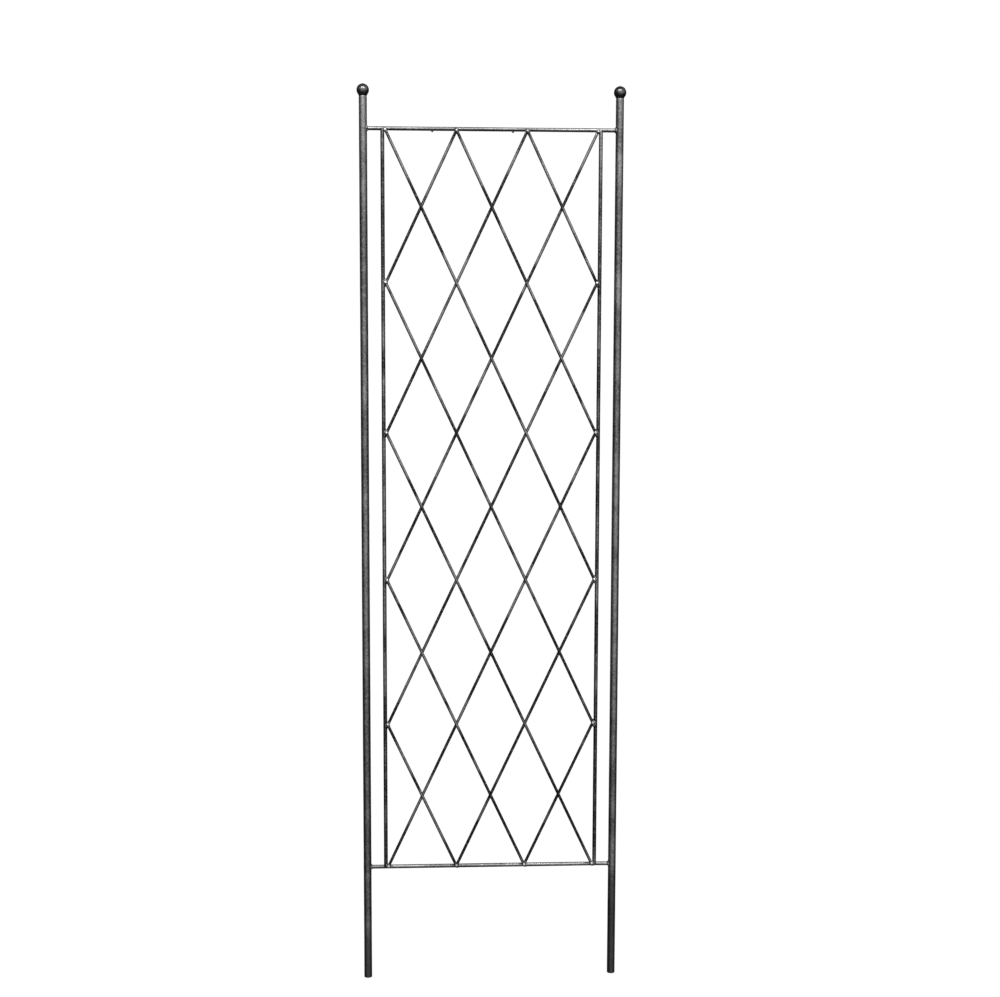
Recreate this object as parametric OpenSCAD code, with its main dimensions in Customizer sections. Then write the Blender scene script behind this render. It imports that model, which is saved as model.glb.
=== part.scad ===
// Flat garden trellis: two round posts with ball finials carry two crossbars,
// two side bars and a welded lattice of straight diagonal rods.
// Origin: midway between the feet, on the centre lines of the posts.
// +X runs to the right along the panel, -Y is its front, +Z is up.

/* [Posts] */
// Distance between the centre lines of the two posts
post_spacing = 500; // [470:5:600]
// Outer diameter of each post tube
post_d = 16; // [14:0.5:20]
// Wall thickness of each post tube
post_wall = 1.5; // [1:0.25:3]
// Post below the bottom crossbar, most of which goes into the soil
leg_length = 232; // [100:5:400]
// Post above the top crossbar, up to the seat of the ball
head_length = 63; // [30:1:120]

/* [Finials] */
// Diameter of each ball
ball_d = 25; // [22:0.5:40]
// Height of the pip that the forging leaves on top of each ball
pip_height = 0.75; // [0.25:0.25:1.5]
// Radius that the pip is rounded to
pip_r = 4; // [3:0.5:6]

/* [Frame bars] */
// Distance between the centre lines of the two crossbars
crossbar_spacing = 1476; // [1000:2:1800]
// Diameter of the crossbars
crossbar_d = 8; // [7:0.5:10]
// Distance between the centre lines of the two side bars
side_bar_spacing = 425; // [360:5:450]
// Diameter of the side bars
side_bar_d = 8; // [7:0.5:10]

/* [Lattice] */
// Diameter of the diagonal rods
rod_d = 6; // [5:0.5:8]
// Diamonds across the panel
columns = 3; // [2:1:4]
// Diamonds up the panel
rows = 5; // [3:1:6]
// Distance from a side bar's centre line to the points of the lattice
side_inset = 5.5; // [4:0.5:8]
// Distance from a crossbar's centre line to the points of the lattice
end_inset = 3; // [0:0.5:5]
// Depth that bars and rods sink into each other where they are welded
weld_sink = 0.5; // [0.25:0.25:1]

/* [Weld beads] */
// Thickness radius of the ring of weld under each ball
finial_bead = 1.25; // [0.75:0.25:2]
// Thickness radius of the ring of weld around each end of a crossbar
post_bead = 1.75; // [1:0.25:3]
// Radius of the bead where a side bar and a rod end on a crossbar
corner_bead = 4; // [3.5:0.25:5]
// Radius of the bead where two rods end on a crossbar
crossbar_bead = 4; // [3.5:0.25:5]
// Radius of the bead where two rods end at a side bar
side_bar_bead = 5; // [4.5:0.25:6]

/* [Hidden] */
$fn = 48;
STEEL = [0.16, 0.16, 0.16];
WELD = [0.3, 0.3, 0.3];

rods_each_way = columns + rows - 1;

bottom_z = leg_length;
top_z = bottom_z + crossbar_spacing;
middle_z = (bottom_z + top_z) / 2;
post_length = top_z + head_length;
// The ball's flat seat is as wide as the post, so its centre stands this far above it
ball_rise = sqrt(pow(ball_d / 2, 2) - pow(post_d / 2, 2));

// The side bars and rising rods lie on the front of the crossbars,
// and the falling rods lie on the front of the rising rods
side_bar_y = weld_sink - (crossbar_d + side_bar_d) / 2;
rising_y = weld_sink - (crossbar_d + rod_d) / 2;
falling_y = rising_y - rod_d + weld_sink;
between_rods_y = (rising_y + falling_y) / 2;

diamond_w = (side_bar_spacing - 2 * side_inset) / columns;
diamond_h = (crossbar_spacing - 2 * end_inset) / rows;
rod_tilt = atan(diamond_w / diamond_h);
// The rods are cut off a little way into the side bars
rods_w = side_bar_spacing - side_bar_d + 2 * weld_sink;
// The beads on the crossbars stop this far short of the crossbars' centre lines
bead_clear = 0.25;
// and lean this far to one side, in degrees
bead_lean = 13;
// Longer than any rod before it is cut off
uncut_length = 2 * (crossbar_spacing + side_bar_spacing);

// Place of a lattice point, counted in diamonds from the panel's top left corner
function lattice_x(across) = (across - columns / 2) * diamond_w;
function lattice_z(down) = middle_z + (rows / 2 - down) * diamond_h;

// ---- Bars at their full outside size, before anything is cut from them ----

module post_bar(side) {
    translate([side * post_spacing / 2, 0, 0])
        cylinder(d = post_d, h = post_length);
}

module crossbar_bar(z) {
    translate([0, 0, z])
        rotate([0, 90, 0])
            cylinder(d = crossbar_d, h = post_spacing, center = true);
}

module side_bar_bar(side) {
    translate([side * side_bar_spacing / 2, side_bar_y, bottom_z])
        cylinder(d = side_bar_d, h = crossbar_spacing);
}

// Rod through one point on the panel's centre line, cut off at the side bars
// and at the centre lines of the crossbars
module rod_bar(z, y, tilt) {
    intersection() {
        translate([0, y, z])
            rotate([0, tilt, 0])
                cylinder(d = rod_d, h = uncut_length, center = true);
        translate([0, y, middle_z])
            cube([rods_w, 2 * rod_d, crossbar_spacing], center = true);
    }
}

// Falling rods are counted from the bottom left corner
module falling_bar(i) {
    rod_bar(lattice_z(columns / 2 + rows - i), falling_y, -rod_tilt);
}

// Rising rods are counted from the top left corner
module rising_bar(i) {
    rod_bar(lattice_z(i - columns / 2), rising_y, rod_tilt);
}

// ---- The pieces ----

module post(side) {
    color(STEEL)
        difference() {
            post_bar(side);
            translate([side * post_spacing / 2, 0, -1])
                cylinder(d = post_d - 2 * post_wall, h = post_length + 2);
        }
}

module finial(side) {
    color(STEEL)
        translate([side * post_spacing / 2, 0, post_length])
            difference() {
                translate([0, 0, ball_rise]) {
                    sphere(d = ball_d);
                    translate([0, 0, ball_d / 2 + pip_height - pip_r])
                        sphere(r = pip_r);
                }
                translate([0, 0, -ball_d / 2])
                    cube(ball_d, center = true);
            }
}

module crossbar(z) {
    color(STEEL)
        difference() {
            crossbar_bar(z);
            post_bar(-1);
            post_bar(1);
        }
}

module side_bar(side) {
    color(STEEL)
        difference() {
            side_bar_bar(side);
            crossbar_bar(bottom_z);
            crossbar_bar(top_z);
        }
}

module rising_rod(i) {
    color(STEEL)
        difference() {
            rising_bar(i);
            crossbar_bar(bottom_z);
            crossbar_bar(top_z);
            side_bar_bar(-1);
            side_bar_bar(1);
        }
}

module falling_rod(i) {
    color(STEEL)
        difference() {
            falling_bar(i);
            side_bar_bar(-1);
            side_bar_bar(1);
            for (j = [1 : rods_each_way])
                rising_bar(j);
        }
}

// ---- Weld beads, each cut to the bars that it joins ----

module ring(radius, bead) {
    rotate_extrude()
        translate([radius, 0])
            circle(r = bead);
}

module cut_to_lattice() {
    color(WELD)
        difference() {
            children();
            for (z = [bottom_z, top_z])
                crossbar_bar(z);
            for (side = [-1, 1])
                side_bar_bar(side);
            for (i = [1 : rods_each_way]) {
                falling_bar(i);
                rising_bar(i);
            }
        }
}

module finial_welds() {
    color(WELD)
        for (side = [-1, 1])
            difference() {
                translate([side * post_spacing / 2, 0, post_length])
                    ring(post_d / 2, finial_bead);
                post_bar(side);
                finial(side);
            }
}

module post_welds() {
    color(WELD)
        for (side = [-1, 1], z = [bottom_z, top_z])
            difference() {
                translate([side * (post_spacing - post_d) / 2, 0, z])
                    rotate([0, 90, 0])
                        ring(crossbar_d / 2, post_bead);
                post_bar(side);
                crossbar_bar(z);
            }
}

// Round-ended bead that runs forward from the crossbars to the falling rods, just
// inside the crossbars' centre lines, and leans a little to one side
module end_bead(across, down, bead) {
    inward = down == 0 ? -1 : 1;
    crossbar_z = down == 0 ? top_z : bottom_z;
    length = rising_y - falling_y;
    translate([lattice_x(across), rising_y, crossbar_z + inward * (bead + bead_clear)])
        rotate([90, 0, bead_lean]) {
            sphere(r = bead);
            cylinder(r = bead, h = length);
            translate([0, 0, length])
                sphere(r = bead);
        }
}

module corner_welds() {
    cut_to_lattice()
        for (across = [0, columns], down = [0, rows])
            end_bead(across, down, corner_bead);
}

module crossbar_welds() {
    cut_to_lattice()
        for (across = [1 : columns - 1], down = [0, rows])
            end_bead(across, down, crossbar_bead);
}

module side_bar_welds() {
    cut_to_lattice()
        for (across = [0, columns], down = [1 : rows - 1])
            translate([lattice_x(across), between_rods_y, lattice_z(down)])
                rotate([90, 0, 0])
                    sphere(r = side_bar_bead);
}

post(-1);  // post_left
post(1);  // post_right
finial(-1);  // finial_left
finial(1);  // finial_right
crossbar(top_z);  // crossbar_top
crossbar(bottom_z);  // crossbar_bottom
side_bar(-1);  // side_bar_left
side_bar(1);  // side_bar_right
for (i = [1 : rods_each_way]) {
    falling_rod(i);
    rising_rod(i);
}
finial_welds();
post_welds();
corner_welds();
crossbar_welds();
side_bar_welds();
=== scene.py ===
"""Looks of the flat garden trellis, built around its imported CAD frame.

Every bar, ball and weld bead is remade at its CAD size with the detail of the real thing: cut ends,
coat built up in the crotches, cast weld metal, spatter, paint drips. Everything is in metres.
+X runs to the right along the panel, -Y is its front, +Z is up.
"""

import itertools
import math
import random

import bpy
import numpy as np
from mathutils import Matrix, Vector


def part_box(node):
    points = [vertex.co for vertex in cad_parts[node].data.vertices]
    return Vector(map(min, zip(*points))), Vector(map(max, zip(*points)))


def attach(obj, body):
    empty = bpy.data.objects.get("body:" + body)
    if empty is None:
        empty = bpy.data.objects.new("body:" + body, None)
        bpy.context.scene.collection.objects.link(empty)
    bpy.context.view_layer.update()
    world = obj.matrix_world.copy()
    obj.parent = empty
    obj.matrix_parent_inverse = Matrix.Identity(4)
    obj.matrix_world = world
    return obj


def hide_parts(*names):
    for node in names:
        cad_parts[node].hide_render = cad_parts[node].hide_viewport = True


MM = 0.001
# Anything smaller counts as nothing
TINY = 1e-6

# ---- Driving sizes that the boxes of the CAD nodes don't give, as in the part's source ----

POST_WALL = 1.5 * MM
ROD_R = 3.0 * MM
COLUMNS = 3
ROWS = 5
SIDE_INSET = 5.5 * MM
END_INSET = 3.0 * MM
WELD_SINK = 0.5 * MM

# ---- Heights of the drops of coat that dried on each post ----

POST_SPECKS = {
    "left": (0.075, 0.226, 0.241, 0.334, 0.627, 0.845, 1.148, 1.25),
    "right": (0.228, 0.316, 0.374, 0.815, 0.909, 1.045, 1.073, 1.694, 1.712, 1.738),
}

# ---- Drops of coat under the top crossbar: shares of its length, and radii in mm ----

DRIP_SHARES = (0.268, 0.583)
DRIP_SIZE = (2.4, 1.9, 2.6)

# ---- Post tops ground back for the ball's weld: (below the top, depth), in mm ----

GROUND_TOP = ((4.4, 0.0), (3.4, 0.06), (2.4, 0.25), (1.4, 0.4), (0.5, 0.42))

# ---- Weld beads in mm: radii of the round lump, of its limit, and of the fillet round it ----

END_LUMP, END_LIMIT, END_FILLET = (4.3, 4.4, 4.1), (7.0, 9.2, 6.8), 1.8
SIDE_LUMP, SIDE_LIMIT, SIDE_FILLET = (4.1, 4.4, 4.2), (6.6, 8.4, 9.1), 1.6
POST_LUMP, POST_LIMIT, POST_FILLET = (1.5, 1.5, 1.5), (4.2, 8.1, 8.1), 2.2
# How far the lumps stand forward of the middle of the lattice, and inward of a crossbar's axis
END_FORWARD, SIDE_FORWARD, END_INWARD = 2.4, 2.5, 4.0
# How far the limit of an end bead stands behind that middle, and inward of its lump
END_LIMIT_BACK, END_LIMIT_INWARD = 1.0, 0.5
# Lobe over each rod's cut tip at a side bar: its radii, and its place from the lattice point
TIP_LUMP, TIP_OUTWARD, TIP_ALONG = (1.8, 2.6, 2.4), 1.0, 5.5
# Spacing of the grid that the beads' skins are made on. The tip of a limit mustn't fall on a
# corner of the grid, or the skin gets faces with no area there.
GRID_STEP = 0.4 * MM
# How far a bar may be from a bead that takes it in
BEAD_REACH = 6.0
# Lumps in the ring of weld round a crossbar's end, and the radius of the ring
POST_LUMPS, POST_RING = 7, 4.3

# ---- Spatter: lumps by each bead and how far they spread, in mm ----

END_SPATTER, END_SPATTER_REACH = 3, 9
POST_SPATTER, POST_SPATTER_REACH = 7, 12

# ---- Bars ----

# Distance between rings of points away from a meeting and near it, and how far near reaches
RING_COARSE, RING_FINE, RING_REACH = 5 * MM, 0.7 * MM, 9 * MM
# Width of the coat that builds up between crossing rods
CROTCH_WIDTH = 2.4 * MM
# How far along a bar the shape of its cut end is drawn out, in radii of the bar
END_FADE = 5

# ---- First seed of each kind of piece ----

POST_SEED, BALL_SEED, SPECK_SEED, WELD_SEED, DRIP_SEED = 50, 60, 70, 101, 400

# ---- Coat: scales of its noise, in lumps a metre ----

PATCH_SCALE = 11.0
MOTTLE_SCALE = 330.0
NICK_SCALE = 620.0
PEEL_SCALE = 900.0
GRAIN_SCALE = 1500.0
SOIL_SCALE = 60.0
# Where pits and glints in the mottle start and are full, and from how much to how much they
# show, and the same for nicks in their own noise
PITS, GLINTS, NICKS = (0.50, 0.40, 0.0, 0.55), (0.52, 0.66, 0.0, 0.5), (0.77, 0.80, 0.0, 1.0)
# Shades of the coat's dark tone in pits and soil stains, and of its light tone in the others
PIT_SHADE, STAIN_SHADE, GLINT_SHADE, NICK_SHADE = 0.4, 0.28, 1.6, 4
# Shares of each layer in the relief, and the depth of it all
PEEL_SHARE, GRAIN_SHARE, NICK_SHARE, RELIEF_DEPTH = 0.7, 0.3, -0.6, 0.06 * MM
# How much smoother and rougher than its middle value a coat gets with the mottle
SMOOTHER, ROUGHER = 0.07, 0.1
METALLIC, LACQUER_ROUGHNESS = 0.9, 0.2
# Painted shade that darkens rods and side bars low down: heights where it starts and is full,
# and the share of X that is added to a height, which puts both higher to the right
PAINTED_SHADE_HEIGHTS, PAINTED_SHADE_LEAN = (0.9, 0.1), -2.0
# The soil stain: the same, the height of its uneven edge, and how much it darkens and roughens
STAIN_HEIGHTS, STAIN_LEAN, STAIN_UNEVEN = (0.195, 0.135), -0.2, 0.030
STAIN_DARKENS, STAIN_ROUGHENS = 0.8, 0.22

# ---- Backdrop: how brightly the floor and the dome shine, and the tones of their paper ----

FLOOR_GLOW, DOME_GLOW = 0.93, 1.0
PAPER_TONES, PAPER_SCALE = (0.02, 0.03), 1.5

# ---- Camera: place and furthest view in metres, lens and sensor in mm ----

CAMERA_PLACE = (-0.1465, -3.1114, 1.3181)
CAMERA_PITCH, CAMERA_YAW = math.radians(-6.09), math.radians(-3.026)
CAMERA_ROLL = math.radians(0.161)
LENS, SENSOR_WIDTH, CLIP_END = 56.54, 36.0, 60.0

# ---- Light ----

# How far the middle of the front glow is turned to the right
FRONT_TURN = math.radians(7)
# Strength of the world where a level is 1, and the strength that it has everywhere
WORLD_STRENGTH, WORLD_FLOOR = 5.0, 0.03
# Levels of the front glow and of the high band by the sine of elevation
FRONT_GLOW = (
    (-1.0, 0.01), (-0.6, 0.04), (-0.35, 0.28), (-0.1, 0.46), (0.15, 0.80), (0.4, 0.35), (0.7, 0.1),
)
HIGH_BAND = ((-0.2, 0.0), (0.12, 0.03), (0.3, 0.42), (0.6, 0.42), (0.85, 0.30), (0.97, 0.05))
# The glow behind has this share of the front's levels
REAR_SHARE = 0.6
# Where each fades from none to full, by the cosine of the angle away from the front
FRONT_EDGES, BAND_EDGES, REAR_EDGES = (0.45, 1.0), (-0.35, 0.35), (-0.80, -1.0)


# ---------------------------------------------------------------------------------------------
# Mesh helpers
# ---------------------------------------------------------------------------------------------


def mm(*sizes):
    """Sizes given in millimetres, as an array in metres."""
    return np.array(sizes) * MM


def make_object(name, points, faces):
    """A new smooth mesh object in the scene from an array of points and a list of faces."""
    mesh = bpy.data.meshes.new(name)
    mesh.from_pydata([tuple(p) for p in points], [], faces)
    mesh.validate()
    mesh.update()
    mesh.polygons.foreach_set("use_smooth", [True] * len(mesh.polygons))
    piece = bpy.data.objects.new(name, mesh)
    bpy.context.scene.collection.objects.link(piece)
    return piece


def joined(parts):
    """One set of points and faces out of several."""
    points, faces, count = [], [], 0
    for part_points, part_faces in parts:
        points.append(np.asarray(part_points))
        faces += [tuple(i + count for i in face) for face in part_faces]
        count += len(part_points)
    return np.concatenate(points), faces


def soft_max(a, b, width):
    """The larger of a and b, with the change from one to the other rounded over width."""
    h = np.maximum(width - np.abs(a - b), 0.0) / width
    return np.maximum(a, b) + h * h * width * 0.25


def soft_min(a, b, width):
    """The smaller of a and b, rounded in the same way."""
    return -soft_max(-a, -b, width)


def ripple(points, pitch, seed, waves=7):
    """A smooth random field from -1 to 1 whose lumps are about as wide as pitch."""
    draw = np.random.default_rng(seed)
    total = np.zeros(len(points))
    for _ in range(waves):
        way = draw.normal(size=3)
        way /= np.linalg.norm(way)
        turns = 2 * math.pi / (pitch * draw.uniform(0.7, 1.6))
        total += np.sin(points @ way * turns + draw.uniform(0, 2 * math.pi))
    return total / math.sqrt(waves) * 0.6


# ---------------------------------------------------------------------------------------------
# Bars: the axis, radius and cut planes of each straight bar of the panel
# ---------------------------------------------------------------------------------------------


class Bar:
    """A straight round bar. Each cut is a point and a normal, and the bar is kept behind it."""

    def __init__(self, start, end, radius, cuts=()):
        self.start = np.array(start, float)
        self.end = np.array(end, float)
        self.radius = radius
        self.cuts = [(np.array(p, float), np.array(n, float)) for p, n in cuts]
        self.length = np.linalg.norm(self.end - self.start)
        self.way = (self.end - self.start) / self.length

    def from_axis(self, points):
        """Each point's distance from the axis, and the vector to it from the axis."""
        along = (points - self.start) @ self.way
        out = points - self.start - along[:, None] * self.way
        return np.linalg.norm(out, axis=1), out

    def outside(self, points):
        """Signed distance to the bar's surface, positive outside it."""
        gap = self.from_axis(points)[0] - self.radius
        for place, normal in self.cuts:
            gap = np.maximum(gap, (points - place) @ normal)
        return gap

    def push_out(self, points):
        """Moves the points that lie inside this bar to its surface."""
        inside = self.outside(points) < 0
        far, out = self.from_axis(points[inside])
        points[inside] += out * (self.radius / np.maximum(far, TINY) - 1)[:, None]
        return points

    def meets(self, other, reach):
        """How far along this bar the other one's axis passes it within reach, or None."""
        cross = np.cross(self.way, other.way)
        size = cross @ cross
        if size < TINY:
            return None
        between = other.start - self.start
        s = np.cross(between, other.way) @ cross / size
        t = np.cross(between, self.way) @ cross / size
        gap = np.linalg.norm(self.start + s * self.way - other.start - t * other.way)
        slack = 3 * (self.radius + other.radius)
        on_both = -slack < s < self.length + slack and -slack < t < other.length + slack
        return s if on_both and gap < reach else None


def read_frame():
    """Every bar by its CAD node's name, with sizes from the boxes of the CAD nodes."""
    bars = {}
    for side in ("left", "right"):
        low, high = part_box(f"post_{side}")
        x = (low.x + high.x) / 2
        bars[f"post_{side}"] = Bar((x, 0, low.z), (x, 0, high.z), (high.x - low.x) / 2)
    post_x = bars["post_right"].start[0]
    for place in ("bottom", "top"):
        low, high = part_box(f"crossbar_{place}")
        z = (low.z + high.z) / 2
        bars[f"crossbar_{place}"] = Bar((-post_x, 0, z), (post_x, 0, z), (high.z - low.z) / 2)
    bottom_z = bars["crossbar_bottom"].start[2]
    top_z = bars["crossbar_top"].start[2]
    crossbar_r = bars["crossbar_top"].radius
    for side in ("left", "right"):
        low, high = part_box(f"side_bar_{side}")
        x, radius = (low.x + high.x) / 2, (high.x - low.x) / 2
        y = low.y + radius
        bars[f"side_bar_{side}"] = Bar((x, y, bottom_z), (x, y, top_z), radius)
    side_x = bars["side_bar_right"].start[0]
    rising_y = WELD_SINK - crossbar_r - ROD_R
    falling_y = rising_y - 2 * ROD_R + WELD_SINK
    cut_x = side_x - bars["side_bar_right"].radius + WELD_SINK
    diamond_w = 2 * (side_x - SIDE_INSET) / COLUMNS
    diamond_h = (top_z - bottom_z - 2 * END_INSET) / ROWS
    middle_z = (bottom_z + top_z) / 2
    for i in range(1, COLUMNS + ROWS):
        for name, y, lean, down in (
            ("falling", falling_y, -1, COLUMNS / 2 + ROWS - i),
            ("rising", rising_y, 1, i - COLUMNS / 2),
        ):
            z = middle_z + (ROWS / 2 - down) * diamond_h
            slope = lean * diamond_h / diamond_w
            ends = []
            for x_end in (-cut_x, cut_x):
                z_end = min(max(z + slope * x_end, bottom_z), top_z)
                ends.append(((z_end - z) / slope, y, z_end))
            bars[f"{name}_rod_{i}"] = Bar(*ends, ROD_R)
    for name, bar in bars.items():
        if "rod" in name or "side_bar" in name:
            for end in (bar.start, bar.end):
                if abs(end[2] - top_z) < TINY or abs(end[2] - bottom_z) < TINY:
                    bar.cuts.append((end, np.array((0, 0, np.sign(end[2] - middle_z)))))
                else:
                    bar.cuts.append((end, np.array((np.sign(end[0]), 0, 0))))
        elif "post" in name:
            bar.cuts = [(bar.start, np.array((0, 0, -1))), (bar.end, np.array((0, 0, 1)))]
    return bars


def ring_places(bar, meetings):
    """Distances along a bar for its rings of points, closer together near each meeting."""
    places = [0.0]
    while places[-1] < bar.length:
        here = places[-1]
        near = min((abs(here - m) for m in meetings), default=bar.length)
        step = RING_FINE
        if near >= RING_REACH:
            step = min(RING_COARSE, RING_FINE + (near - RING_REACH) * 0.5)
        places.append(here + step)
    places[-1] = bar.length
    if places[-1] - places[-2] < RING_FINE / 2:
        places.pop(-2)
    return np.array(places)


def bar_skin(bar, places, seed):
    """Points and faces of a solid bar with eased edges, whose ends follow its cut planes.

    A slanting cut is followed only as far as the bar's radius, which blunts its sharp tip.
    """
    sides, edge, wobble, wobble_pitch = 32, 0.35 * MM, 0.04 * MM, 60 * MM
    side = np.cross(bar.way, (0.0, 1.0, 0.0))
    side /= np.linalg.norm(side)
    up = np.cross(side, bar.way)
    turn = np.arange(sides) * 2 * math.pi / sides
    spokes = np.cos(turn)[:, None] * side + np.sin(turn)[:, None] * up

    # Each ring's distance along the bar, and its share of the radius
    rim, core = 1 - edge / bar.radius, 0.45
    rings = [(0.0, 0.0), (0.0, core), (0.0, rim), (edge, 1.0)]
    rings += [(s, 1.0) for s in places[1:-1] if edge * 1.5 < s < bar.length - edge * 1.5]
    rings += [(bar.length - edge, 1.0), (bar.length, rim), (bar.length, core), (bar.length, 0.0)]
    fade = END_FADE * bar.radius
    points = []
    for s, share in rings:
        out = spokes * bar.radius * share
        slide = np.zeros(sides)
        for (place, normal), anchor in zip(bar.cuts[:2], (0.0, bar.length)):
            weight = max(0.0, 1 - abs(s - anchor) / fade)
            at_anchor = bar.start + bar.way * anchor + out
            reach = ((place - at_anchor) @ normal) / (bar.way @ normal)
            blunt = np.minimum(reach, bar.radius) if anchor else np.maximum(reach, -bar.radius)
            slide += weight * blunt
        points.append(bar.start + bar.way * s + out + slide[:, None] * bar.way)
    points = np.concatenate(points)
    swell = ripple(points, wobble_pitch, seed) * wobble
    far, out = bar.from_axis(points)
    swell *= np.minimum(1, far / bar.radius)
    points += out / np.maximum(far, TINY)[:, None] * swell[:, None]
    return merged(points, ring_faces(0, len(rings), sides))


def merged(points, faces):
    """Joins points that lie in one place and drops faces that fold up."""
    keys = np.round(points / 1e-7).astype(np.int64)
    _, first, back = np.unique(keys, axis=0, return_index=True, return_inverse=True)
    back = back.reshape(-1)
    clean = []
    for face in faces:
        ring = []
        for i in face:
            j = int(back[i])
            if not ring or ring[-1] != j:
                ring.append(j)
        if len(ring) > 1 and ring[0] == ring[-1]:
            ring.pop()
        if len(ring) > 2:
            clean.append(tuple(ring))
    return points[first], clean


# ---------------------------------------------------------------------------------------------
# Weld metal: a closed skin around a field of signed distances
# ---------------------------------------------------------------------------------------------

# Corners of a grid cell, and the pairs of them that its edges join
CORNERS = [(0, 0, 0), (1, 0, 0), (0, 1, 0), (1, 1, 0), (0, 0, 1), (1, 0, 1), (0, 1, 1), (1, 1, 1)]
EDGES = [
    (0, 1), (2, 3), (4, 5), (6, 7), (0, 2), (1, 3), (4, 6), (5, 7), (0, 4), (1, 5), (2, 6), (3, 7),
]
# Rounds of filling in pinched corners, at most, and of moving points onto the surface
PINCH_ROUNDS, SETTLE_ROUNDS = 12, 3


def skin(field, low, high):
    """Points and faces of the surface where field is 0, by surface nets on a grid."""
    step = GRID_STEP
    low = np.array(low, float)
    count = np.ceil((np.array(high) - low) / step).astype(int) + 1
    axes = [low[k] + step * np.arange(count[k]) for k in range(3)]
    grid = np.stack(np.meshgrid(*axes, indexing="ij"), -1)
    value = field(grid.reshape(-1, 3)).reshape(count)
    value[[0, -1], :, :] = step
    value[:, [0, -1], :] = step
    value[:, :, [0, -1]] = step
    value = unpinched(value, step)
    inside = value < 0
    cell = tuple(n - 1 for n in count)
    total = np.zeros(cell + (3,))
    crossings = np.zeros(cell)
    for a, b in EDGES:
        ca, cb = CORNERS[a], CORNERS[b]
        take = [tuple(slice(c[k], c[k] + cell[k]) for k in range(3)) for c in (ca, cb)]
        va, vb = value[take[0]], value[take[1]]
        hit = inside[take[0]] != inside[take[1]]
        share = np.where(hit, va / np.where(hit, va - vb, 1.0), 0.0)
        for k in range(3):
            total[..., k] += np.where(hit, ca[k] + share * (cb[k] - ca[k]), 0.0)
        crossings += hit
    used = crossings > 0
    index = np.full(cell, -1)
    index[used] = np.arange(used.sum())
    where = np.argwhere(used)
    points = low + step * (where + total[used] / crossings[used][:, None])
    faces = []
    for k, (i, j) in enumerate(((1, 2), (2, 0), (0, 1))):
        first = [slice(1, -1)] * 3
        first[k] = slice(0, -1)
        second = list(first)
        second[k] = slice(1, None)
        before, after = inside[tuple(first)], inside[tuple(second)]
        for flip in (False, True):
            start = np.argwhere((before & ~after) if not flip else (~before & after))
            start += np.array([0 if axis == k else 1 for axis in range(3)])
            back_i, back_j = np.eye(3, dtype=int)[i], np.eye(3, dtype=int)[j]
            ring = [start - back_i - back_j, start - back_j, start, start - back_i]
            ring = [index[tuple(corner.T)] for corner in (ring if not flip else ring[::-1])]
            faces += list(zip(*[r.tolist() for r in ring]))
    for _ in range(SETTLE_ROUNDS):
        points = settled(field, points, step)
    return points, faces


def unpinched(value, step):
    """Fills in the corners of the grid where the skin would touch itself along an edge."""
    for _ in range(PINCH_ROUNDS):
        found = False
        for a, b in ((0, 1), (0, 2), (1, 2)):
            corners = []
            for up_a, up_b in ((0, 0), (1, 0), (0, 1), (1, 1)):
                take = [slice(None)] * 3
                take[a] = slice(1, None) if up_a else slice(0, -1)
                take[b] = slice(1, None) if up_b else slice(0, -1)
                corners.append(tuple(take))
            p, q, r, t = (value[take] < 0 for take in corners)
            pinch = (p & t & ~q & ~r) | (~p & ~t & q & r)
            found = found or pinch.any()
            for take in corners:
                value[take] = np.where(pinch, np.minimum(value[take], -0.05 * step), value[take])
        if not found:
            break
    return value


def settled(field, points, step):
    """Points moved onto the surface where field is 0."""
    reach = step * 0.25
    value = field(points)
    slope = np.stack([
        (field(points + way) - field(points - way)) / (2 * reach) for way in reach * np.eye(3)
    ], -1)
    size = np.maximum((slope ** 2).sum(1), 0.2)
    move = -(value / size)[:, None] * slope
    return points + np.clip(move, -step / 2, step / 2)


def bead_field(bars, blobs, fillet, limit, seed):
    """Field of a weld bead: a fillet between bars and round blobs, kept inside a limit.

    Each blob is a centre and its radii. So is the limit, outside which the bead ends.
    """
    lumps, lump_pitch, inset, limit_fillet = 0.16 * MM, 3.2 * MM, 0.05 * MM, 1.5 * MM
    centre, radii = np.array(limit[0], float), np.array(limit[1], float)

    def field(points):
        metal = None
        for bar in bars:
            gap = bar.outside(points) + inset
            metal = gap if metal is None else soft_min(metal, gap, fillet)
        for place, size in blobs:
            size = np.array(size, float)
            away = np.linalg.norm((points - np.array(place)) / size, axis=1)
            gap = (away - 1) * size.min()
            metal = gap if metal is None else soft_min(metal, gap, fillet * 0.6)
        metal = metal + ripple(points, lump_pitch, seed) * lumps
        edge = (np.linalg.norm((points - centre) / radii, axis=1) - 1) * radii.min()
        return soft_max(metal, edge, limit_fillet)

    return field


def bead(bars, blobs, fillet, limit, seed):
    """Points and faces of a weld bead."""
    centre, radii = np.array(limit[0], float), np.array(limit[1], float)
    margin = 2 * GRID_STEP
    field = bead_field(bars, blobs, fillet, limit, seed)
    return skin(field, centre - radii - margin, centre + radii + margin)


# ---------------------------------------------------------------------------------------------
# Pieces
# ---------------------------------------------------------------------------------------------


def coat_crotch(points, normals, neighbours):
    """Builds the coat up where a bar's skin comes close to its neighbours."""
    for other in neighbours:
        gap = np.maximum(other.outside(points), 0.0)
        h = np.maximum(CROTCH_WIDTH - gap, 0.0) / CROTCH_WIDTH
        points = points + normals * (h * h * CROTCH_WIDTH * 0.25)[:, None]
    return points


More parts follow.
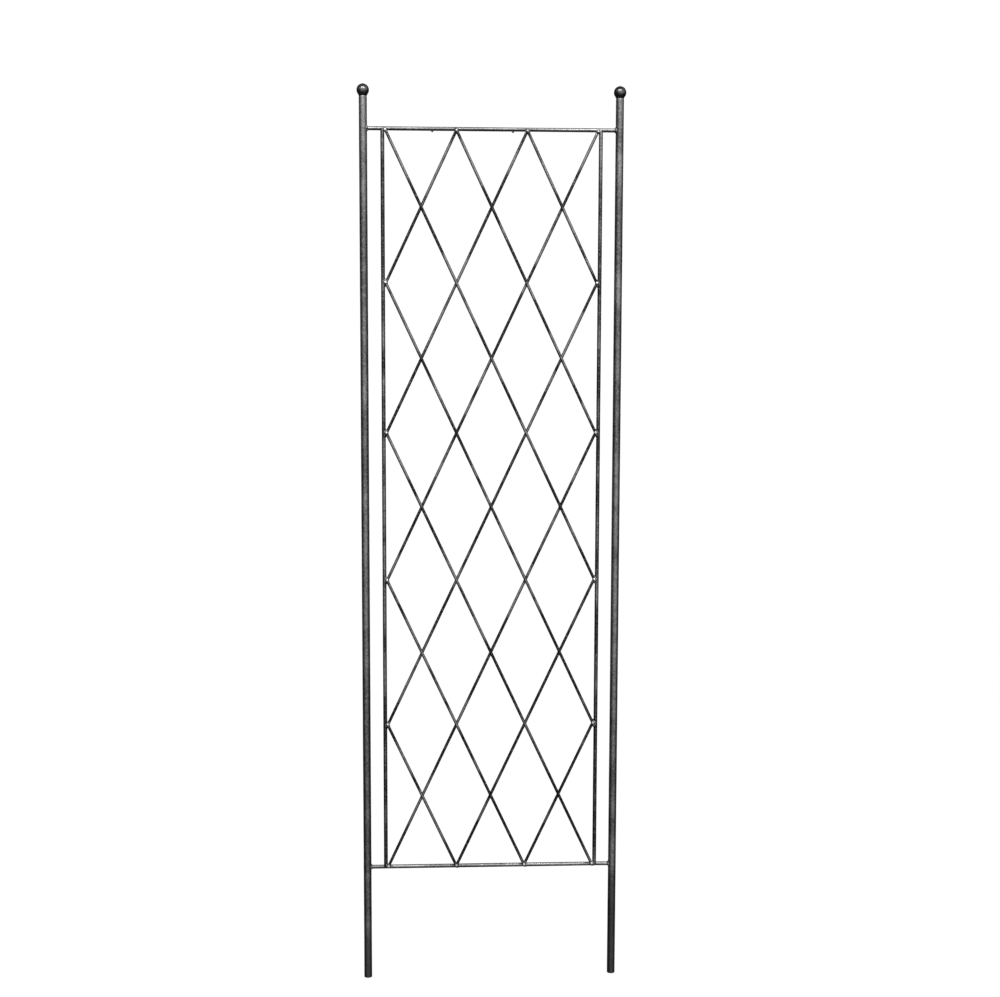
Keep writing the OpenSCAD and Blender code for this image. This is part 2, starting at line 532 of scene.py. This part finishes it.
def build_bars(bars):
    """The crossbars, side bars and rods, each coped to what it lies against."""
    built = {}
    behind = {
        "crossbar": ("post",),
        "side_bar": ("crossbar",),
        "rising": ("crossbar", "side_bar"),
        "falling": ("side_bar", "rising"),
    }
    for number, (name, bar) in enumerate(sorted(bars.items())):
        kind = next((k for k in behind if name.startswith(k)), None)
        if kind is None:
            continue
        body = bar
        if kind == "crossbar":
            bar.cuts = [(bar.start, -bar.way), (bar.end, bar.way)]
            body = between_posts(bar, bars["post_left"])
        meetings = []
        for other_name, other in bars.items():
            at = body.meets(other, bar.radius + other.radius) if other_name != name else None
            if at is not None:
                meetings.append(at)
        places = ring_places(body, meetings)
        points, faces = bar_skin(body, places, number)
        near = [o for n, o in bars.items() if n.startswith(behind[kind]) and o is not bar]
        far, out = bar.from_axis(points)
        normals = out / np.maximum(far, TINY)[:, None]
        if kind in ("falling", "rising"):
            rods = [o for n, o in bars.items() if "rod" in n and n[0] != name[0]]
            points = coat_crotch(points, normals, rods)
        if kind == "crossbar":
            points = coped(points, near, END_FADE * bar.radius)
        else:
            for other in near:
                points = other.push_out(points)
        if name == "crossbar_top":
            points, faces = joined([(points, faces)] + drips(bar))
        built[name] = (points, faces)
    return built


def between_posts(crossbar, post):
    """A crossbar without the parts of its axis that lie inside the posts."""
    inset = crossbar.way * post.radius
    start, end = crossbar.start + inset, crossbar.end - inset
    return Bar(start, end, crossbar.radius, ((start, -crossbar.way), (end, crossbar.way)))


def coped(points, posts, fade):
    """Stretches a crossbar's ends along it until they follow the skins of the posts."""
    for post in posts:
        side = np.sign(post.start[0])
        short = side * post.start[0] - post.radius - side * points[:, 0]
        dip = post.radius - np.sqrt(np.maximum(post.radius ** 2 - points[:, 1] ** 2, 0.0))
        points[:, 0] += side * np.clip(1 - short / fade, 0.0, 1.0) * dip
    return points


def drips(bar):
    """Drops of coat that dried under the top crossbar."""
    drops = []
    for number, share in enumerate(DRIP_SHARES):
        x = bar.start[0] + bar.way[0] * bar.length * share
        place = (x, bar.start[1], bar.start[2] - bar.radius)
        drops.append(nub(place, mm(*DRIP_SIZE), DRIP_SEED + number))
    return drops


def tube_skin(bar, wall, seed):
    """Points and faces of an open tube with eased, slightly burred ends."""
    sides, edge, pitch, bore_pitch = 64, 0.3 * MM, 6 * MM, 30 * MM
    wobble, wobble_pitch = 0.05 * MM, 70 * MM
    outer, inner = bar.radius, bar.radius - wall
    count = int(bar.length / pitch)
    outline = [(edge, outer), (3 * edge, outer)]
    outline += [(bar.length * i / count, outer) for i in range(1, count)]
    outline += [(bar.length - back * MM, outer - cut * MM) for back, cut in GROUND_TOP]
    outline += [(bar.length, outer - 1.5 * edge), (bar.length, inner + edge * 0.5)]
    outline += [(bar.length - edge * 0.5, inner)]
    coarse = int(bar.length / bore_pitch)
    outline += [
        (bar.length - edge * 0.5 - (bar.length - edge) * i / coarse, inner)
        for i in range(1, coarse + 1)
    ]
    outline += [(0.0, inner + edge * 0.5), (0.0, outer - edge)]
    turn = np.arange(sides) * 2 * math.pi / sides
    spokes = np.stack([np.cos(turn), np.sin(turn), np.zeros(sides)], -1)
    points = np.concatenate([bar.start + bar.way * s + spokes * r for s, r in outline])
    far, out = bar.from_axis(points)
    swell = ripple(points, wobble_pitch, seed) * wobble * (far > inner + edge)
    points += out / far[:, None] * swell[:, None]
    rows = len(outline)
    faces = [
        (a + k, a + (k + 1) % sides, b + (k + 1) % sides, b + k)
        for a, b in ((r * sides, (r + 1) % rows * sides) for r in range(rows))
        for k in range(sides)
    ]
    return points, faces


def ring_faces(first, rings, sides):
    """Faces between rings of points that follow each other, starting at the point first."""
    return [
        (a + k, a + sides + k, a + sides + (k + 1) % sides, a + (k + 1) % sides)
        for a in (first + r * sides for r in range(rings - 1))
        for k in range(sides)
    ]


def ball_skin(post, low, high, seed):
    """Points and faces of a forged ball with a pip on top and a flat seat on the post."""
    rings, sides, pip_r, pip_fillet = 72, 96, 4.0 * MM, 0.5 * MM
    forging, forging_pitch = 0.07 * MM, 9 * MM
    seat_r = post.radius
    ball_r = (high.x - low.x) / 2
    centre_z = low.z + math.sqrt(ball_r ** 2 - seat_r ** 2)
    pip_z = high.z - centre_z - pip_r
    seat_angle = math.pi - math.asin(seat_r / ball_r)
    outline = []
    for i in range(rings + 1):
        angle = seat_angle * i / rings
        reach = pip_r ** 2 - (pip_z * math.sin(angle)) ** 2
        pip = pip_z * math.cos(angle) + math.sqrt(reach) if reach > 0 else 0.0
        far = float(soft_max(ball_r, pip, pip_fillet)) if pip > 0 and angle < 1 else ball_r
        outline.append((far * math.sin(angle), centre_z + far * math.cos(angle)))
    outline += [(seat_r * 0.5, low.z), (0.0, low.z)]
    turn = np.arange(sides) * 2 * math.pi / sides
    x0 = post.start[0]
    points = np.concatenate([
        np.stack([x0 + r * np.cos(turn), r * np.sin(turn), np.full(sides, z)], -1)
        for r, z in outline
    ])
    centre = np.array((x0, 0, centre_z))
    out = points - centre
    out /= np.maximum(np.linalg.norm(out, axis=1), 1e-9)[:, None]
    keep = (points[:, 2] > low.z + 1e-5)[:, None]
    points += out * (ripple(points, forging_pitch, seed) * forging)[:, None] * keep
    return merged(points, ring_faces(0, len(outline), sides))


def nub(place, size, seed):
    """Points and faces of a small rounded lump of spatter."""
    rings, sides = 6, 10
    points = [(0.0, 0.0, 1.0), (0.0, 0.0, -1.0)]
    for i in range(1, rings):
        angle = math.pi * i / rings
        for k in range(sides):
            turn = 2 * math.pi * k / sides
            out = math.sin(angle)
            points.append((out * math.cos(turn), out * math.sin(turn), math.cos(angle)))
    points = np.array(points)
    points *= (1 + 0.15 * ripple(points, 1.5, seed))[:, None]
    last = 2 + (rings - 2) * sides
    faces = [(0, 2 + k, 2 + (k + 1) % sides) for k in range(sides)]
    faces += [(1, last + (k + 1) % sides, last + k) for k in range(sides)]
    faces += ring_faces(2, rings - 1, sides)
    return np.array(place) + points * size, faces


def on_skin(bar, along, bearing):
    """A point on a bar's surface, at a distance along it and a bearing in degrees round it."""
    side = np.cross(bar.way, (0.0, 1.0, 0.0))
    side /= np.linalg.norm(side)
    up = np.cross(side, bar.way)
    turn = math.radians(bearing)
    return bar.start + bar.way * along + (math.cos(turn) * side + math.sin(turn) * up) * bar.radius


def spatter(bar, along, reach, count, seed):
    """Lumps of weld spatter stuck to a bar round a point along it."""
    draw = random.Random(seed)
    parts = []
    for k in range(count):
        place = on_skin(bar, along + draw.gauss(0, reach), draw.uniform(0, 360))
        size = draw.uniform(0.25, 0.6) * MM
        parts.append(nub(place, size, seed * 31 + k))
    return parts


def specks(post, heights, seed):
    """Drops and blisters of coat on the front of a post, at given heights."""
    draw = random.Random(seed)
    drops = []
    for number, height in enumerate(heights):
        place = on_skin(post, height, -90 + draw.uniform(-28, 28))
        size = draw.uniform(0.7, 1.1) * MM
        radii = np.array((size, size, size * draw.uniform(1.2, 2.2)))
        drops.append(nub(place, radii, seed * 17 + number))
    return drops


def lattice_point(bars, across, down):
    """Place of a lattice point on the panel, counted in diamonds from its top left corner."""
    side_x = bars["side_bar_right"].start[0] - SIDE_INSET
    top = bars["crossbar_top"].start[2] - END_INSET
    bottom = bars["crossbar_bottom"].start[2] + END_INSET
    return (across / COLUMNS * 2 - 1) * side_x, top + (bottom - top) * down / ROWS


def bars_near(bars, place, reach):
    """The bars whose surface comes within reach of a point."""
    point = np.array([place], float)
    return [bar for bar in bars.values() if bar.outside(point)[0] < reach]


def end_bead(bars, across, down, rising_y, falling_y, seed):
    """The bead and spatter where rods, and a side bar at a corner, end on a crossbar."""
    crossbar = bars["crossbar_top" if down == 0 else "crossbar_bottom"]
    inward = -1 if down == 0 else 1
    between_y = (rising_y + falling_y) / 2
    x = lattice_point(bars, across, down)[0]
    z = crossbar.start[2] + inward * END_INWARD * MM
    near = bars_near(bars, (x, between_y, z), BEAD_REACH * MM)
    if crossbar not in near:
        near.append(crossbar)
    blobs = [((x, between_y - END_FORWARD * MM, z), mm(*END_LUMP))]
    limit_y, limit_z = between_y + END_LIMIT_BACK * MM, z + inward * END_LIMIT_INWARD * MM
    limit = ((x, limit_y, limit_z), mm(*END_LIMIT))
    along = x - crossbar.start[0]
    return [bead(near, blobs, END_FILLET * MM, limit, seed)] + spatter(
        crossbar, along, END_SPATTER_REACH * MM, END_SPATTER, seed
    )


def side_bead(bars, across, down, rising_y, falling_y, seed):
    """The bead where two rods end at a side bar, with a lobe over each rod's cut tip."""
    x, z = lattice_point(bars, across, down)
    outward = math.copysign(1, x)
    between_y = (rising_y + falling_y) / 2
    tip_x, tip_z = x + outward * TIP_OUTWARD * MM, outward * TIP_ALONG * MM
    near = bars_near(bars, (x, between_y, z), BEAD_REACH * MM)
    blobs = [
        ((x, between_y - SIDE_FORWARD * MM, z), mm(*SIDE_LUMP)),
        ((tip_x, falling_y, z - tip_z), mm(*TIP_LUMP)),
        ((tip_x, rising_y, z + tip_z), mm(*TIP_LUMP)),
    ]
    return bead(near, blobs, SIDE_FILLET * MM, ((x, between_y, z), mm(*SIDE_LIMIT)), seed)


def post_bead(post, crossbar, seed):
    """The ring of lumps round a crossbar's end on a post, with its spatter."""
    x = post.start[0] - math.copysign(post.radius, post.start[0])
    z = crossbar.start[2]
    turn = np.arange(POST_LUMPS) * 2 * math.pi / POST_LUMPS + seed
    ring = POST_RING * MM
    blobs = [((x, ring * math.cos(a), z + ring * math.sin(a)), mm(*POST_LUMP)) for a in turn]
    limit = ((x, 0, z), mm(*POST_LIMIT))
    return [bead([post, crossbar], blobs, POST_FILLET * MM, limit, seed)] + spatter(
        post, z, POST_SPATTER_REACH * MM, POST_SPATTER, seed
    )


def build_welds(bars):
    """Each group of weld beads by its CAD node's name."""
    rising_y = bars["rising_rod_1"].start[1]
    falling_y = bars["falling_rod_1"].start[1]
    names = ("corner_welds", "crossbar_welds", "side_bar_welds", "post_welds", "finial_welds")
    welds = {name: [] for name in names}
    seeds = itertools.count(WELD_SEED)
    for down in (0, ROWS):
        for across in range(COLUMNS + 1):
            group = "corner_welds" if across in (0, COLUMNS) else "crossbar_welds"
            welds[group] += end_bead(bars, across, down, rising_y, falling_y, next(seeds))
    for across in (0, COLUMNS):
        for down in range(1, ROWS):
            made = side_bead(bars, across, down, rising_y, falling_y, next(seeds))
            welds["side_bar_welds"].append(made)
    for side in ("left", "right"):
        post = bars[f"post_{side}"]
        for place in ("bottom", "top"):
            welds["post_welds"] += post_bead(post, bars[f"crossbar_{place}"], next(seeds))
        welds["finial_welds"].append(finial_bead(post, next(seeds)))
    return {name: joined(parts) for name, parts in welds.items()}


def finial_bead(post, seed):
    """The ring of weld in the crotch between a ball and the post below it."""
    fillet, inset, lumps, lump_pitch = mm(2.0, 0.05, 0.12, 2.6)
    depth, half_height, top_fillet, core_fillet = mm(0.8, 2.0, 1.0, 0.3)
    low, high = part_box("finial_left" if post.start[0] < 0 else "finial_right")
    ball_r = (high.x - low.x) / 2
    rise = math.sqrt(ball_r ** 2 - post.radius ** 2)
    centre = np.array((post.start[0], 0, low.z + rise))
    middle = np.array((post.start[0], 0, low.z))

    def field(points):
        ball = np.linalg.norm(points - centre, axis=1) - ball_r
        metal = soft_min(post.outside(points), ball, fillet) + inset
        metal = metal + ripple(points, lump_pitch, seed) * lumps
        core = post.radius - depth - post.from_axis(points)[0]
        height = np.abs(points[:, 2] - middle[2]) - half_height
        return soft_max(soft_max(metal, height, top_fillet), core, core_fillet)

    reach = mm(11, 11, 3)
    return skin(field, middle - reach, middle + reach)


# ---------------------------------------------------------------------------------------------
# Materials
# ---------------------------------------------------------------------------------------------


def new_material(name):
    """A node material, its nodes and links, and its shader."""
    material = bpy.data.materials.new(name)
    material.use_nodes = True
    nodes, links = material.node_tree.nodes, material.node_tree.links
    return material, nodes, links, nodes["Principled BSDF"]


def noise(nodes, links, where, scale, detail=3.0, rough=0.55):
    """Smooth random lumps, from 0 to 1."""
    texture = nodes.new("ShaderNodeTexNoise")
    texture.inputs["Scale"].default_value = scale
    texture.inputs["Detail"].default_value = detail
    texture.inputs["Roughness"].default_value = rough
    links.new(where, texture.inputs["Vector"])
    return texture.outputs["Fac"]


def spread(nodes, links, value, low, high, to_low=0.0, to_high=1.0):
    """Maps low to to_low and high to to_high, easing from one to the other."""
    node = nodes.new("ShaderNodeMapRange")
    node.interpolation_type = "SMOOTHSTEP"
    ends = {"From Min": low, "From Max": high, "To Min": to_low, "To Max": to_high}
    for key, number in ends.items():
        node.inputs[key].default_value = number
    links.new(value, node.inputs["Value"])
    return node.outputs["Result"]


def combine(nodes, links, how, a, b):
    """Adds, subtracts or multiplies two values, each a socket or a number."""
    node = nodes.new("ShaderNodeMath")
    node.operation = how
    for socket, value in zip(node.inputs, (a, b)):
        if isinstance(value, (int, float)):
            socket.default_value = value
        else:
            links.new(value, socket)
    return node.outputs["Value"]


def mix_colour(nodes, links, share, a, b):
    """Mixes from colour a to colour b by a share from 0 to 1."""
    node = nodes.new("ShaderNodeMix")
    node.data_type = "RGBA"
    sockets = [s for s in node.inputs if s.type == "RGBA"]
    links.new(share, node.inputs[0])
    for socket, value in zip(sockets, (a, b)):
        if isinstance(value, tuple):
            socket.default_value = value
        else:
            links.new(value, socket)
    return next(s for s in node.outputs if s.type == "RGBA")


def grey(level):
    """An opaque grey."""
    return (level, level, level, 1.0)


def painted_low_shade(nodes, links, place, broad, most):
    """Painted shade: takes up to most off the patches towards the bottom and right of the panel."""
    across = combine(nodes, links, "MULTIPLY", place.outputs["X"], PAINTED_SHADE_LEAN)
    level = combine(nodes, links, "ADD", place.outputs["Z"], across)
    shade_share = spread(nodes, links, level, *PAINTED_SHADE_HEIGHTS, 0.0, most)
    return combine(nodes, links, "SUBTRACT", broad, shade_share)


def soil_stain(nodes, links, where, place):
    """How stained the legs are by the soil that they stood in, with an uneven upper edge."""
    lumps = noise(nodes, links, where, SOIL_SCALE, 4.0)
    uneven = combine(nodes, links, "MULTIPLY", lumps, STAIN_UNEVEN)
    level = combine(nodes, links, "ADD", place.outputs["Z"], uneven)
    lean = combine(nodes, links, "MULTIPLY", place.outputs["X"], STAIN_LEAN)
    level = combine(nodes, links, "ADD", level, lean)
    return spread(nodes, links, level, *STAIN_HEIGHTS, 0.0, STAIN_DARKENS)


def coat_material(
    name, dark, light, rough, bump, patches=(0.42, 0.62), lacquer=0.2, painted_shade=0.0, stained=False
):
    """Baked-on dark coat: patches, pits, glints, orange peel, and nicks that show brighter."""
    material, nodes, links, shader = new_material(name)
    where = nodes.new("ShaderNodeTexCoord").outputs["Object"]
    place = nodes.new("ShaderNodeSeparateXYZ")
    links.new(where, place.inputs[0])
    broad = noise(nodes, links, where, PATCH_SCALE)
    # painted shade: darker patches towards the bottom and the right of the panel
    if painted_shade:
        broad = painted_low_shade(nodes, links, place, broad, painted_shade)
    mottle = noise(nodes, links, where, MOTTLE_SCALE, 4.0, 0.65)
    grain = noise(nodes, links, where, GRAIN_SCALE, 2.0)
    peel = noise(nodes, links, where, PEEL_SCALE, 2.0)
    patchy = spread(nodes, links, broad, *patches)
    colour = mix_colour(nodes, links, patchy, grey(dark), grey(light))
    pits = spread(nodes, links, mottle, *PITS)
    colour = mix_colour(nodes, links, pits, colour, grey(dark * PIT_SHADE))
    glints = spread(nodes, links, mottle, *GLINTS)
    colour = mix_colour(nodes, links, glints, colour, grey(light * GLINT_SHADE))
    nicks = spread(nodes, links, noise(nodes, links, where, NICK_SCALE, 1.0), *NICKS)
    colour = mix_colour(nodes, links, nicks, colour, grey(light * NICK_SHADE))
    roughness = spread(nodes, links, mottle, 0.3, 0.7, rough - SMOOTHER, rough + ROUGHER)
    if stained:
        stain = soil_stain(nodes, links, where, place)
        colour = mix_colour(nodes, links, stain, colour, grey(dark * STAIN_SHADE))
        duller = combine(nodes, links, "MULTIPLY", stain, STAIN_ROUGHENS)
        roughness = combine(nodes, links, "ADD", roughness, duller)
    links.new(colour, shader.inputs["Base Color"])
    links.new(roughness, shader.inputs["Roughness"])
    shader.inputs["Metallic"].default_value = METALLIC
    shader.inputs["Coat Weight"].default_value = lacquer
    shader.inputs["Coat Roughness"].default_value = LACQUER_ROUGHNESS

    heights = [
        combine(nodes, links, "MULTIPLY", layer, share)
        for layer, share in ((peel, PEEL_SHARE), (grain, GRAIN_SHARE), (nicks, NICK_SHARE))
    ]
    relief = combine(nodes, links, "ADD", heights[0], heights[1])
    relief = combine(nodes, links, "ADD", relief, heights[2])
    height = nodes.new("ShaderNodeBump")
    height.inputs["Strength"].default_value = bump
    height.inputs["Distance"].default_value = RELIEF_DEPTH
    links.new(relief, height.inputs["Height"])
    links.new(height.outputs["Normal"], shader.inputs["Normal"])
    return material


def paper_material(name, glow):
    """Pale backdrop paper that shines by itself, so that no shadow falls on it."""
    material, nodes, links, shader = new_material(name)
    where = nodes.new("ShaderNodeTexCoord").outputs["Object"]
    patches = noise(nodes, links, where, PAPER_SCALE)
    colour = mix_colour(nodes, links, patches, *map(grey, PAPER_TONES))
    links.new(colour, shader.inputs["Base Color"])
    shader.inputs["Roughness"].default_value = 0.9
    shader.inputs["Emission Color"].default_value = grey(1.0)
    shader.inputs["Emission Strength"].default_value = glow
    return material


# ---------------------------------------------------------------------------------------------
# Stage, light and camera
# ---------------------------------------------------------------------------------------------


def add_backdrop(name, points, faces, paper):
    """A sheet of pale paper that only the camera sees."""
    sheet = make_object(name, points, faces)
    sheet.data.materials.append(paper)
    sheet.visible_glossy = False
    sheet.visible_diffuse = False
    return sheet


def build_floor():
    """Floor, bend and wall in one pale sheet."""
    half_w, front, back, bend, bend_steps, height = 14.0, -12.0, 5.0, 2.0, 24, 9.0
    outline = [(front, 0.0), (back - bend, 0.0)]
    outline += [
        (back - bend + bend * math.sin(a), bend - bend * math.cos(a))
        for a in (math.radians(90) * k / bend_steps for k in range(1, bend_steps + 1))
    ]
    outline += [(back, height)]
    points = [(x, y, z) for y, z in outline for x in (-half_w, half_w)]
    faces = [(2 * i, 2 * i + 1, 2 * i + 3, 2 * i + 2) for i in range(len(outline) - 1)]
    add_backdrop("studio_floor", points, faces, paper_material("pale_floor", FLOOR_GLOW))


def build_dome():
    """Pale dome for the views that look past the floor's sheet. It lets all light through."""
    dome_r, lowest, rings, sides = 24.0, math.radians(100), 12, 48
    points = [(0.0, 0.0, dome_r)]
    for ring in range(1, rings + 1):
        tilt = lowest * ring / rings
        for k in range(sides):
            turn = 2 * math.pi * k / sides
            out = dome_r * math.sin(tilt)
            points.append((out * math.cos(turn), out * math.sin(turn), dome_r * math.cos(tilt)))
    faces = [(0, 1 + k, 1 + (k + 1) % sides) for k in range(sides)]
    faces += ring_faces(1, rings, sides)
    dome = add_backdrop("studio_dome", points, faces, paper_material("pale_backdrop", DOME_GLOW))
    dome.visible_shadow = False


def profile(nodes, links, value, stops):
    """Maps a value from -1 to 1 through (value, level) stops."""
    ramp = nodes.new("ShaderNodeValToRGB")
    elements = ramp.color_ramp.elements
    while len(elements) < len(stops):
        elements.new(0.5)
    for element, (at, level) in zip(elements, stops):
        element.position = at / 2 + 0.5
        element.color = grey(level)
    half = combine(nodes, links, "MULTIPLY", value, 0.5)
    links.new(combine(nodes, links, "ADD", half, 0.5), ramp.inputs["Fac"])
    return ramp.outputs["Color"]


def build_world():
    """Dark room: a glow in front and a weaker one behind, and a broad soft band higher up."""
    world = bpy.data.worlds.new("studio")
    bpy.context.scene.world = world
    world.use_nodes = True
    nodes, links = world.node_tree.nodes, world.node_tree.links
    background = nodes["Background"]
    direction = nodes.new("ShaderNodeTexCoord").outputs["Generated"]
    height = nodes.new("ShaderNodeSeparateXYZ")
    links.new(direction, height.inputs[0])
    level = nodes.new("ShaderNodeVectorMath")
    level.operation = "MULTIPLY"
    level.inputs[1].default_value = (1.0, 1.0, 0.0)
    links.new(direction, level.inputs[0])
    flat = nodes.new("ShaderNodeVectorMath")
    flat.operation = "NORMALIZE"
    links.new(level.outputs["Vector"], flat.inputs[0])
    facing = nodes.new("ShaderNodeVectorMath")
    facing.operation = "DOT_PRODUCT"
    facing.inputs[1].default_value = (math.sin(FRONT_TURN), -math.cos(FRONT_TURN), 0.0)
    links.new(flat.outputs["Vector"], facing.inputs[0])
    front = spread(nodes, links, facing.outputs["Value"], *FRONT_EDGES)
    fall = profile(nodes, links, height.outputs["Z"], FRONT_GLOW)
    side = spread(nodes, links, facing.outputs["Value"], *BAND_EDGES)
    band = profile(nodes, links, height.outputs["Z"], HIGH_BAND)
    rear = spread(nodes, links, facing.outputs["Value"], *REAR_EDGES, 0.0, REAR_SHARE)
    lit = [
        combine(nodes, links, "MULTIPLY", fade, levels)
        for fade, levels in ((front, fall), (side, band), (rear, fall))
    ]
    glow = combine(nodes, links, "ADD", lit[0], lit[1])
    glow = combine(nodes, links, "ADD", glow, lit[2])
    glow = combine(nodes, links, "MULTIPLY", glow, WORLD_STRENGTH)
    strength = combine(nodes, links, "ADD", glow, WORLD_FLOOR)
    links.new(strength, background.inputs["Strength"])
    background.inputs["Color"].default_value = grey(1.0)


def soft_box(name, place, aim, width, height, power):
    """A rectangular light of so many watts at a place, turned to where it is aimed."""
    light = bpy.data.lights.new(name, "AREA")
    light.shape = "RECTANGLE"
    light.size, light.size_y = width, height
    light.energy = power
    lamp = bpy.data.objects.new(name, light)
    lamp.location = place
    lamp.rotation_euler = (Vector(aim) - Vector(place)).to_track_quat("-Z", "Y").to_euler()
    lamp.visible_camera = False
    bpy.context.scene.collection.objects.link(lamp)


def build_lights():
    """A big softbox above the camera, a weak one to the right and a weak one behind."""
    for name, place, aim, (width, height), power in (
        ("front_softbox", (-0.05, -2.6, 4.1), (0, 0, 1.5), (3.3, 1.2), 310),
        ("right_softbox", (2.4, -0.9, 2.2), (0.2, 0, 1.4), (0.5, 1.6), 5),
        ("back_softbox", (-0.4, 3.0, 3.4), (0, 0, 1.2), (3.0, 3.0), 12),
    ):
        soft_box(name, place, aim, width, height, power)


def build_camera():
    """Camera nearly square on to the front, from a little left and above."""
    camera = bpy.data.cameras.new("camera")
    camera.sensor_fit = "HORIZONTAL"
    camera.sensor_width = SENSOR_WIDTH
    camera.lens = LENS
    camera.clip_end = CLIP_END
    eye = bpy.data.objects.new("camera", camera)
    eye.matrix_world = (
        Matrix.Translation(CAMERA_PLACE)
        @ Matrix.Rotation(CAMERA_YAW, 4, "Z")
        @ Matrix.Rotation(math.radians(90) + CAMERA_PITCH, 4, "X")
        @ Matrix.Rotation(CAMERA_ROLL, 4, "Z")
    )
    bpy.context.scene.collection.objects.link(eye)
    bpy.context.scene.camera = eye


# ---------------------------------------------------------------------------------------------
# The model
# ---------------------------------------------------------------------------------------------

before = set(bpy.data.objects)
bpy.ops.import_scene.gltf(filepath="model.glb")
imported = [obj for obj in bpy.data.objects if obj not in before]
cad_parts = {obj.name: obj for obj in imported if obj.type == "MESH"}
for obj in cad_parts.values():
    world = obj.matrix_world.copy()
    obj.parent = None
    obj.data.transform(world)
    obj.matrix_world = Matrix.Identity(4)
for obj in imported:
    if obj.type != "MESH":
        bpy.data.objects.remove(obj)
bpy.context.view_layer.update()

build_camera()
build_world()
build_lights()
build_floor()
build_dome()
bpy.context.scene.view_settings.view_transform = "Standard"

BARS = read_frame()
POST_STEEL = coat_material(
    "coated_post_steel", dark=0.035, light=0.085, rough=0.34, bump=0.6, stained=True
)
CROSSBAR_STEEL = coat_material(
    "coated_crossbar_steel", dark=0.040, light=0.082, rough=0.24, bump=0.5
)
# Rods and side bars carry painted shade, darker towards the bottom and the right
BAR_STEEL = coat_material(
    "coated_bar_steel", dark=0.005, light=0.075, rough=0.26, bump=0.5, lacquer=0.1, painted_shade=0.10
)
ROD_STEEL = coat_material(
    "coated_rod_steel", dark=0.001, light=0.080, rough=0.22, bump=0.5,
    patches=(0.45, 0.58), lacquer=0.05, painted_shade=0.10,
)
BALL_STEEL = coat_material("coated_ball_steel", dark=0.018, light=0.042, rough=0.10, bump=0.25)
WELD = coat_material("coated_weld", dark=0.11, light=0.20, rough=0.18, bump=0.3)
SEAT_WELD = coat_material("coated_seat_weld", dark=0.006, light=0.020, rough=0.35, bump=0.5)
POST_WELD = coat_material("coated_post_weld", dark=0.020, light=0.055, rough=0.25, bump=0.4)
BAR_COATS = {"rod": ROD_STEEL, "crossbar": CROSSBAR_STEEL, "side_bar": BAR_STEEL}
WELD_COATS = {"finial_welds": SEAT_WELD, "post_welds": POST_WELD}


def finish_piece(node, points, faces, material, slot):
    """Makes the piece that stands for a CAD node, with its coat."""
    piece = make_object(f"{node}_coated", points, faces)
    piece.data.materials.append(material)
    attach(piece, "root")
    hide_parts(node)


for node, (points, faces) in build_bars(BARS).items():
    steel = next(coat for kind, coat in BAR_COATS.items() if kind in node)
    finish_piece(node, points, faces, steel, "coated_steel")
for number, side in enumerate(("left", "right")):
    post = BARS[f"post_{side}"]
    drops = specks(post, POST_SPECKS[side], SPECK_SEED + number)
    tube = joined([tube_skin(post, POST_WALL, POST_SEED + number)] + drops)
    finish_piece(f"post_{side}", *tube, POST_STEEL, "coated_steel")
    ball = ball_skin(post, *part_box(f"finial_{side}"), BALL_SEED + number)
    finish_piece(f"finial_{side}", *ball, BALL_STEEL, "coated_steel")
for node, (points, faces) in build_welds(BARS).items():
    finish_piece(node, points, faces, WELD_COATS.get(node, WELD), "coated_weld")
